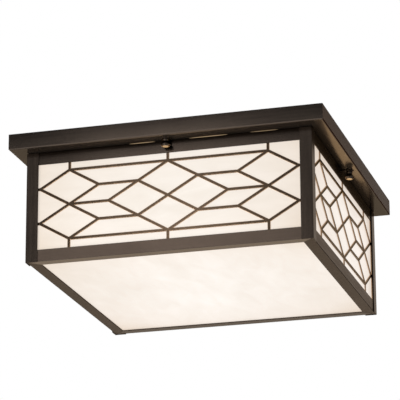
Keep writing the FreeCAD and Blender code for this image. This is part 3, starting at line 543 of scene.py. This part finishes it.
def metal_material(
    name, dark, light, roughness, tint=(1, 1, 1), along=None, scale=METAL_SCALE, depth=GRAIN_DEPTH,
    matt=0.0, fall=None,
):
    """Metal or metallic paint with faint streaks along an axis, mottling and a fine grain.

    matt is the share of plain matt paint in it. fall, where given, holds a low and a high place
    between which painted shade darkens the paint upward.
    """
    material, tree = new_material(name)
    streaks = grain(
        tree, scale * STREAK_SHARE, [STREAK_STRETCH if axis == along else 1 for axis in "xyz"]
    )
    patches = grain(tree, scale / PATCH_DIVISOR, detail=PATCH_DETAIL)
    both = mixed(tree, streaks, patches, PATCH_SHARE)
    half = MIX_HALF
    # painted shade: darker upward between the two places of fall
    if fall:
        half = FALL_HALF
        both = plus(tree, both, mapped(tree, height_in(tree), fall, (half, -half)))
    colour = ramp(tree, both, ((MIX_MIDDLE - half, dark), (MIX_MIDDLE + half, light)))
    fine = grain(tree, scale * FINE_SHARE, detail=FINE_DETAIL)
    shade = add(
        tree,
        "BsdfPrincipled",
        {
            "Base Color": colour,
            "Metallic": 1 - matt,
            "Roughness": spread(tree, streaks, roughness),
            "Specular IOR Level": 0.0,
            "Specular Tint": (*tint, 1),
            "Normal": bump(tree, fine, depth),
        },
    )
    show(tree, shade)
    return material


def metal(name, axis=None, **settings):
    """A metal of the list, with streaks along an axis and the axis in its name where one is given."""
    finish = dict(METALS[name], **settings)
    if axis is None:
        return metal_material(name, **finish)
    return metal_material(name + "_" + axis, along=axis, **finish)


def plain_material(name, dark, light, roughness, scale=PLAIN_SCALE, sockets=()):
    """Plastic, ceramic or insulation with a little mottling."""
    material, tree = new_material(name)
    patches = grain(tree, scale, detail=PATCH_DETAIL)
    fine = grain(tree, scale * PLAIN_FINE_SHARE, detail=FINE_DETAIL)
    shade = add(
        tree,
        "BsdfPrincipled",
        {
            "Base Color": ramp(tree, patches, tuple(zip(PLAIN_SPAN, (dark, light)))),
            "Roughness": spread(tree, patches, roughness),
            "Normal": bump(tree, fine, GRAIN_DEPTH),
            **dict(sockets),
        },
    )
    show(tree, shade)
    return material


def plain(name):
    """A plain material of the list."""
    return plain_material(name, **PLAINS[name])


def lit_glass_material(name, centre, fade, strength, stretch, start=0.0):
    """Cream art glass with a painted glow of the lamps inside: pale in the middle, warmer further out, with wisps
    in it.

    start is how far along the colours the middle already is.
    """
    material, tree = new_material(name)
    place = add(tree, "TexCoord").outputs["Object"]
    away = add(tree, "VectorMath", {0: place, 1: centre}, operation="SUBTRACT").outputs[0]
    scaled_away = add(tree, "VectorMath", {0: away, 1: fade}, operation="MULTIPLY").outputs[0]
    square = add(
        tree, "VectorMath", {0: scaled_away, 1: scaled_away}, operation="DOT_PRODUCT"
    ).outputs["Value"]
    glow = ramp(tree, plus(tree, square, start), GLASS_GLOW)
    clouds = grain(tree, stretch=stretch, **GLASS_CLOUDS)
    wisps = grain(tree, stretch=stretch, **GLASS_WISPS)
    both = mixed(tree, clouds, wisps, WISPS_SHARE)
    colour = mixed_colours(tree, glow, (*GLASS_HAZE, 1), spread(tree, both, (HAZE_MOST, 0)))
    shade = add(
        tree,
        "BsdfPrincipled",
        {
            "Base Color": ramp(tree, both, tuple(zip(NOISE_SPAN, (GLASS_DARK, GLASS_PALE)))),
            "Roughness": GLASS_ROUGHNESS,
            "Specular IOR Level": GLASS_GLOSS,
            "Emission Color": colour,
            "Emission Strength": strength,
            "Normal": bump(tree, both, GLASS_BUMP, GLASS_BUMP_STRENGTH),
        },
    )
    show(tree, shade)
    return material


def knob_paint():
    """Dark bronze, with brighter metal round the knob's foot as a painted reflection of the lit glass."""
    material, tree = new_material("knob_bronze")
    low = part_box("knob_front")[0].z
    # painted highlight: brighter metal at the foot, fading upward
    highlit = mapped(tree, height_in(tree), (low, low + KNOB_HIGHLIGHT_RISE), (0, 1))
    mottle = grain(tree, KNOB_SCALE, detail=PATCH_DETAIL)
    uneven = spread(tree, mottle, (-KNOB_HIGHLIGHT_SPREAD, KNOB_HIGHLIGHT_SPREAD))
    shade = add(
        tree,
        "BsdfPrincipled",
        {
            "Base Color": ramp(tree, plus(tree, highlit, uneven), KNOB_COLOURS),
            "Metallic": 1.0,
            "Roughness": spread(tree, mottle, KNOB_ROUGHNESS),
            "Specular Tint": (*KNOB_TINT, 1),
            "Normal": bump(tree, mottle, KNOB_GRAIN_DEPTH),
        },
    )
    show(tree, shade)
    return material


def dress(piece, material):
    """Gives a piece its material in every slot."""
    if not piece.material_slots:
        piece.data.materials.append(material)
    for slot in piece.material_slots:
        slot.material = material


# Geometry


def body_of_node(name):
    """Name of the body that a CAD piece belongs to."""
    groups = frame["record"]["behaviour"]["bodies"]
    return next(body for body, members in groups.items() if name in members)


def heights(node):
    """Lowest and highest place of a CAD piece."""
    return [corner.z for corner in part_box(node)]


def add_piece(name, mesh, material, body, replaced=()):
    """Makes a piece from a bmesh, dresses it, and puts it on its body."""
    data = bpy.data.meshes.new(name)
    mesh.to_mesh(data)
    mesh.free()
    data.polygons.foreach_set("use_smooth", [True] * len(data.polygons))
    piece = bpy.data.objects.new(name, data)
    bpy.context.scene.collection.objects.link(piece)
    dress(piece, material)
    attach(piece, body)
    if replaced:
        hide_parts(*replaced)
    return piece


def keep_flats(piece):
    """Lets large flat faces keep their own direction beside small rounded edges."""
    weighted = piece.modifiers.new("flat_faces", "WEIGHTED_NORMAL")
    weighted.keep_sharp = True
    weighted.weight = FLAT_WEIGHT
    return piece


def rounded_copy(node, material, edge=SHEET_EDGE):
    """A copy of a CAD piece with rounded edges that stands for it."""
    mesh = bmesh.new()
    mesh.from_mesh(frame["nodes"][node].data)
    bmesh.ops.remove_doubles(mesh, verts=mesh.verts, dist=WELD)
    bmesh.ops.dissolve_limit(
        mesh, angle_limit=math.radians(FLAT_DEGREES), verts=mesh.verts, edges=mesh.edges
    )
    sharp = [
        e
        for e in mesh.edges
        if len(e.link_faces) == 2 and e.calc_face_angle() > math.radians(SHARP_DEGREES)
    ]
    bmesh.ops.bevel(
        mesh, geom=sharp, offset=edge, segments=EDGE_STEPS, profile=ROUND_PROFILE, affect="EDGES",
        clamp_overlap=True, harden_normals=False,
    )
    piece = add_piece(node + "_finished", mesh, material, body_of_node(node), (node,))
    return keep_flats(piece)


def paint_faces(piece, material, chosen):
    """Gives the faces whose normals are chosen one more material."""
    piece.data.materials.append(material)
    for face in piece.data.polygons:
        if chosen(face.normal):
            face.material_index = len(piece.data.materials) - 1


def measured_along(node, origin, axis):
    """Lowest and highest place of a node along an axis, and its greatest distance from it."""
    low, high, reach = math.inf, -math.inf, 0.0
    for vertex in frame["nodes"][node].data.vertices:
        away = vertex.co - origin
        place = away.dot(axis)
        low, high = min(low, place), max(high, place)
        reach = max(reach, (away - axis * place).length)
    return low, high, reach


def ring_surface(mesh, rings, around):
    """Joins rings of vertices into a skin. A ring of one vertex closes the skin to a point."""
    for before, after in zip(rings, rings[1:]):
        for k in range(around):
            after_k = (k + 1) % around
            corners = []
            for vertex in (
                before[k % len(before)],
                before[after_k % len(before)],
                after[after_k % len(after)],
                after[k % len(after)],
            ):
                if vertex not in corners:
                    corners.append(vertex)
            if len(corners) > 2:
                mesh.faces.new(corners)


def turned_mesh(profile, place, around=ROUND_STEPS, wobble=None):
    """Surface of revolution from (along, radius) points, moved by a matrix that takes Z to its axis.

    wobble, where given, is a function of the place along and the angle that adds to the radius.
    """
    mesh = bmesh.new()
    rings = []
    for along, radius in profile:
        if radius < WELD:
            rings.append([mesh.verts.new(place @ Vector((0, 0, along)))])
            continue
        ring = []
        for k in range(around):
            angle = 2 * math.pi * k / around
            r = radius + (wobble(along, angle) if wobble else 0.0)
            point = Vector((r * math.cos(angle), r * math.sin(angle), along))
            ring.append(mesh.verts.new(place @ point))
        rings.append(ring)
    ring_surface(mesh, rings, around)
    if len(rings[0]) > 1 and len(rings[-1]) > 1:
        ring_surface(mesh, [rings[-1], rings[0]], around)
    bmesh.ops.recalc_face_normals(mesh, faces=mesh.faces)
    return mesh


def arc(centre, radius, start, end, steps):
    """(along, radius) points on an arc, with angles in degrees from the axis outward."""
    return [
        (
            centre[0] + radius * math.cos(math.radians(start + (end - start) * k / steps)),
            centre[1] + radius * math.sin(math.radians(start + (end - start) * k / steps)),
        )
        for k in range(steps + 1)
    ]


def outline(shares, length, radius):
    """(along, radius) points from shares of a length and a radius."""
    return [(length * along, radius * out) for along, out in shares]


def axis_matrix(origin, direction):
    """Takes Z to a direction and the origin to a point."""
    return Matrix.Translation(origin) @ direction.to_track_quat("Z", "Y").to_matrix().to_4x4()


# Frame of the lantern, and the pan


def make_pan(inside):
    """Ceiling pan, with a darker paint on its rim as painted shade, darker still upward, and with the paint given
    on its upper face.
    """
    pan = rounded_copy("ceiling_pan", metal("pan_underside"))
    rim = metal("pan_rim", fall=heights("ceiling_pan"))
    paint_faces(pan, rim, lambda normal: abs(normal.z) < BEND_LIMIT)
    paint_faces(pan, inside, lambda normal: normal.z > BEND_LIMIT)


def make_bottom_rail(side, paint, fold, flange):
    """Bottom rail, with its own paint on the folded edge and under the flange."""
    rail = rounded_copy("bottom_rail_" + side, paint)
    paint_faces(rail, fold, lambda normal: normal.z < FLAT_LIMIT - 1)
    paint_faces(rail, flange, lambda normal: normal.z < -FLAT_LIMIT)


def make_lattice(side, way, paint, glow_edge):
    """Lattice, with a paler, warmer paint on the side faces of its bars, apart from the level ones, as a painted
    glow of the lit glass.
    """
    lattice = rounded_copy("lattice_" + side, paint, LATTICE_EDGE)
    paint_faces(
        lattice, glow_edge, lambda normal: max(abs(normal.dot(way)), abs(normal.z)) < FLAT_LIMIT
    )


def make_frame():
    """Pan, posts, rails, lattices, ears and clips in dark bronze. Gives the top rails by side."""
    paints = {axis: metal("bronze_paint", axis) for axis in "xyz"}
    # painted shadow of the pan on the top rails, darker toward their top
    fall = heights("top_rail_front")
    upper = {axis: metal("top_rail_paint", axis, fall=fall) for axis in "xy"}
    post = metal("post_paint")
    sill, shadow = metal("sill_paint"), metal("fold_shadow")
    # painted shadow on the folds of the right, back and left bottom rails; painted highlight under the front
    # flange
    folds = {"front": sill, "right": shadow, "back": shadow, "left": shadow}
    flanges = {
        "front": metal("lit_sill_paint"), "right": sill, "back": metal("back_sill_paint"), "left": sill
    }
    # the side faces of the lattice bars take a painted glow of the lit glass
    warm, glow_edge = metal("lattice_paint"), metal("lattice_glow_edge")
    make_pan(post)
    rails = {}
    for side, way in WAYS.items():
        axis = "y" if way.x else "x"
        rails[side] = rounded_copy("top_rail_" + side, upper[axis])
        make_bottom_rail(side, paints[axis], folds[side], flanges[side])
        make_lattice(side, way, warm, glow_edge)
    for corner in CORNERS:
        rounded_copy("corner_post_" + corner, post)
    rounded_copy("hanging_ears", paints["x"])
    for node in ("glass_clips", "clip_rivets"):
        dress(frame["nodes"][node], paints["z"])
    return rails


# Glass


def wavy_grid(mesh, low, size, flat, end, inward):
    """Grid of vertices over one face of a sheet, wavy toward the inside of the sheet."""
    first, second = [k for k in range(3) if k != flat]
    counts = [round(size[k] / GLASS_CELL) for k in (first, second)]
    grid = []
    for i in range(counts[0] + 1):
        row = []
        for j in range(counts[1] + 1):
            point = Vector((0, 0, 0))
            point[first] = low[first] + size[first] * i / counts[0]
            point[second] = low[second] + size[second] * j / counts[1]
            point[flat] = end
            wave = (1 + noise.noise(point / GLASS_WAVE_SIZE)) / 2
            point[flat] = end + inward * wave * GLASS_WAVE
            row.append(mesh.verts.new(point))
        grid.append(row)
    return grid


def grid_border(grid):
    """Vertices round the edge of a grid, in order."""
    return (
        [row[0] for row in grid]
        + grid[-1][1:]
        + [row[-1] for row in reversed(grid[:-1])]
        + list(reversed(grid[0][1:-1]))
    )


def wavy_slab(name, node, material):
    """Sheet of glass with slightly wavy faces, for a CAD sheet."""
    low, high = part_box(node)
    size = high - low
    flat = min(range(3), key=lambda k: size[k])
    mesh = bmesh.new()
    grids = [
        wavy_grid(mesh, low, size, flat, low[flat], 1),
        wavy_grid(mesh, low, size, flat, high[flat], -1),
    ]
    for grid in grids:
        for row, next_row in zip(grid, grid[1:]):
            for j in range(len(row) - 1):
                mesh.faces.new((row[j], next_row[j], next_row[j + 1], row[j + 1]))
    front, back = [grid_border(grid) for grid in grids]
    for k in range(len(front)):
        after = (k + 1) % len(front)
        mesh.faces.new((front[k], front[after], back[after], back[k]))
    bmesh.ops.recalc_face_normals(mesh, faces=mesh.faces)
    edges = [e for e in mesh.edges if e.calc_face_angle(0) > math.radians(SHARP_DEGREES)]
    bmesh.ops.bevel(
        mesh, geom=edges, offset=SHEET_EDGE, segments=EDGE_STEPS, profile=ROUND_PROFILE, affect="EDGES"
    )
    return keep_flats(add_piece(name, mesh, material, body_of_node(node), (node,)))


def make_glass():
    """Side and bottom glass, whose painted glow is brightest near its middle. Gives the side pieces by side."""
    low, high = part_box("side_glass_right")
    tallness = high.z - low.z
    middle = (low.z + high.z) / 2
    wide, tall = GLOW_WIDE_SHARE / high.y, GLOW_TALL_SHARE / tallness
    pieces = {}
    for side, way in WAYS.items():
        shift, rise, pace, strength, start = SIDE_GLOW[side]
        along = Z.cross(way)
        centre = along * shift + Z * (middle + tallness * rise)
        fade = Vector((abs(along.x) * wide, abs(along.y) * wide, tall)) * pace
        stretch = [SIDE_STRETCH if part else 1 for part in along]
        material = lit_glass_material("lit_glass_" + side, centre, fade, strength, stretch, start)
        pieces[side] = wavy_slab("art_glass_" + side, "side_glass_" + side, material)
    fade = (wide * BOTTOM_PACE, wide * BOTTOM_PACE, 0)
    material = lit_glass_material(
        "lit_glass_bottom", BOTTOM_CENTRE, fade, BOTTOM_STRENGTH, BOTTOM_STRETCH
    )
    wavy_slab("art_glass_bottom", "bottom_glass", material)
    return pieces


# Knobs


def knob_profile(height, radius):
    """Bore, collar, waist and cup, from the bottom of the bore round to the middle of the foot."""
    bore, collar = radius * KNOB_BORE_SHARE, radius * KNOB_COLLAR_SHARE
    soft, foot = radius * KNOB_SOFT_SHARE, radius * KNOB_FOOT_SHARE
    bore_end = height * KNOB_BORE_END_SHARE
    profile = [(bore_end, 0), (bore_end, bore), (height, bore)]
    profile += [(height, collar - soft), (height - soft, collar)]
    profile += outline(KNOB_OUTLINE_SHARES, height, radius)
    profile += arc((foot, radius - foot), foot, 90, 180, KNOB_FOOT_STEPS)
    return profile + [(0, 0)]


def make_knobs():
    """Turned knobs and their washers."""
    paint, washer = knob_paint(), metal("washer_bronze")
    for side in WAYS:
        node = "knob_" + side
        low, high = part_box(node)
        centre = (low + high) / 2
        place = Matrix.Translation(Vector((centre.x, centre.y, low.z)))
        profile = knob_profile(high.z - low.z, (high.x - low.x) / 2)
        mesh = turned_mesh(profile, place)
        add_piece("turned_knob_" + side, mesh, paint, body_of_node(node), (node,))
        rounded_copy("knob_washer_" + side, washer, SHEET_EDGE / 2)


# Lamps and sockets


def lamp_thread(start, end):
    """Rounded thread that adds to a radius between two places and fades in and out at them."""

    def height(along, angle):
        inside = min(1, max(0, (along - start) / LAMP_THREAD_PITCH))
        inside *= min(1, max(0, (end - along) / LAMP_THREAD_PITCH))
        turn = 2 * math.pi * along / LAMP_THREAD_PITCH - angle
        return LAMP_THREAD_DEPTH * inside * (1 + math.cos(turn)) / 2

    return height


def make_lamp_base(node, origin, axis, shell, black, solder):
    """Threaded shell, insulator and tip for the CAD base of a lamp."""
    low, high, reach = measured_along(node, origin, axis)
    place = axis_matrix(origin + axis * low, axis)
    body = body_of_node(node)
    length = high - low
    tip, insulator = length * TIP_SHARE, length * INSULATOR_SHARE
    thread_end = length - reach * PLAIN_END_SHARE
    count = round((thread_end - insulator) / (LAMP_THREAD_PITCH / THREAD_STEPS))
    step = (thread_end - insulator) / count
    core, inside = reach - LAMP_THREAD_DEPTH, reach * SHELL_INSIDE_SHARE
    profile = [(insulator, inside)]
    profile += [(insulator + step * k, core) for k in range(count + 1)]
    profile += [(thread_end + step, reach), (length - step, reach)]
    profile += [(length, reach - SHELL_WALL), (length, inside)]
    mesh = turned_mesh(profile, place, wobble=lamp_thread(insulator, thread_end))
    add_piece(node + "_threaded", mesh, shell, body, (node,))

    profile = outline(INSULATOR_LOW_SHARES, tip, reach) + outline(INSULATOR_HIGH_SHARES, insulator, reach)
    add_piece(node + "_insulator", turned_mesh(profile, place), black, body)

    dome = arc((tip, reach * TIP_FLAT_SHARE), reach * TIP_ROUND_SHARE, 180, 90, TIP_STEPS)
    profile = [(0, 0)] + [point for point in dome if point[0] >= 0]
    profile += outline(TIP_TOP_SHARES, tip, reach)
    add_piece(node + "_tip", turned_mesh(profile, place), solder, body)


def make_lamps():
    """Lamps with threaded bases and frosted globes that glow faintly."""
    shell, solder = metal("rolled_shell"), metal("solder_tip")
    black, frosted = plain("black_insulator"), plain("frosted_globe")
    joints = {joint["name"]: joint for joint in frame["joints"]}
    for corner in CORNERS:
        joint = joints["lamp_turn_" + corner]
        origin, axis = Vector(joint["pos_m"]), Vector(joint["axis"]).normalized()
        make_lamp_base("lamp_base_" + corner, origin, axis, shell, black, solder)
        dress(frame["nodes"]["lamp_globe_" + corner], frosted)


def make_sockets(steel):
    """Porcelain bodies, shells, contacts, brackets and fasteners under the pan."""
    brass = metal("plain_brass")
    rounded_copy("socket_bodies", plain("white_glaze"), SHEET_EDGE * 2)
    dress(frame["nodes"]["socket_shells"], brass)
    dress(frame["nodes"]["socket_contacts"], brass)
    dress(frame["nodes"]["socket_rivets"], steel)
    rounded_copy("socket_brackets", steel)
    rounded_copy("bracket_screws", steel, SHEET_EDGE / 2)
    rounded_copy("bracket_nuts", steel, SHEET_EDGE / 2)


# Hardware and wires


def make_hardware(steel):
    """Crossbar, studs, nuts, bushing and leads."""
    for node in ("crossbar", "canopy_studs", "canopy_cap_nuts", "hanging_studs", "ground_screws"):
        rounded_copy(node, steel, SHEET_EDGE / 2)
    rounded_copy("wire_bushing", plain("black_nylon"))
    dress(frame["nodes"]["hot_leads"], plain("black_insulation"))
    dress(frame["nodes"]["neutral_leads"], plain("white_insulation"))
    dress(frame["nodes"]["ground_lead"], metal("dull_copper"))


def connector_ribs(length):
    """Grooves between ribs that take from the radius, past the plain mouth of a connector."""

    def height(along, angle):
        if along <= length * CONNECTOR_RIB_START_SHARE:
            return 0
        return CONNECTOR_RIB_DEPTH * (math.cos(CONNECTOR_RIBS * angle) - 1) / 2

    return height


def make_connectors():
    """Ribbed twist-on connectors, whose mouths face each other."""
    orange = plain("orange_plastic")
    node = "wire_connectors"
    low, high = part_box(node)
    radius = (high.x - low.x) / 2
    level = (low.z + high.z) / 2
    mouth = min(abs(vertex.co.y) for vertex in frame["nodes"][node].data.vertices)
    length = high.y - mouth
    profile = outline(CONNECTOR_OUTLINE_SHARES, length, radius)
    for side in ("back", "front"):
        way = WAYS[side]
        place = axis_matrix(way * mouth + Z * level, way)
        mesh = turned_mesh(profile, place, around=CONNECTOR_STEPS, wobble=connector_ribs(length))
        replaced = (node,) if side == "back" else ()
        add_piece(
            "ribbed_connector_" + side, mesh, orange, body_of_node(node), replaced
        )


def main():
    """Builds the scene."""
    bpy.context.scene.view_settings.view_transform = "Standard"
    make_camera()
    make_studio()
    rails = make_frame()
    glass = make_glass()
    for side, way in WAYS.items():
        make_glow(side, way, glass[side])
        if side in LEAK_SIDES:
            make_leaks(side, way, rails[side])
    make_knobs()
    make_lamps()
    steel = metal("zinc_plate")
    make_sockets(steel)
    make_hardware(steel)
    make_connectors()


main()
